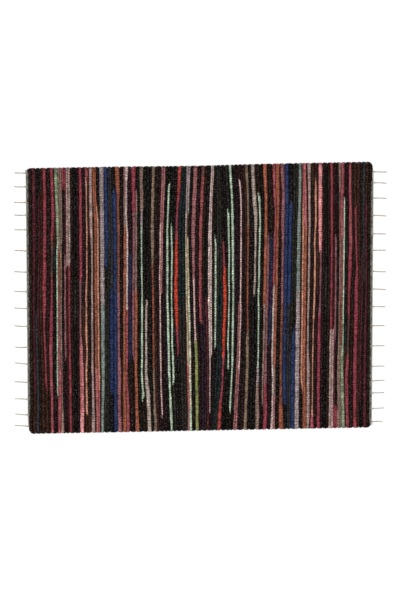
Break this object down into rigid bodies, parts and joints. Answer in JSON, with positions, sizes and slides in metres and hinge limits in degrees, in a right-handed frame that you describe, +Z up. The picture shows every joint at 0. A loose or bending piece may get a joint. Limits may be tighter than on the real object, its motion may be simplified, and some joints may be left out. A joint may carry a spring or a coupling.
{
  "type": "woven rag rug",
  "caption": "Flat handwoven rug of multicoloured rag strips on cotton warps, with a narrow cotton heading and a sparse row of knotted tassels at each end.",
  "frame": {"origin": "on the floor, under the middle of the rug's box with its tassels", "axes": "+Z up from the floor through the rug, +X along the rug from its left end to its right end, parallel to the selvedges, +Y across the rug"},
  "size_m": [0.9852, 0.6896, 0.0065],
  "materials": {
    "rag_cloth": "torn strips of dyed cotton jersey and print cloth, woven as weft, mostly dark with crimson, rose, mint, cream, rust and blue stripes",
    "heading_cotton": "undyed and grey-green cotton yarn, woven close",
    "warp_cotton": "undyed two-ply cotton warp yarn, knotted and cut"
  },
  "bodies": {
    "root": {"rug_cloth": "rag_cloth", "heading_left": "heading_cotton", "heading_right": "heading_cotton", "fringe_left": "warp_cotton", "fringe_right": "warp_cotton"}
  },
  "joints": []
}
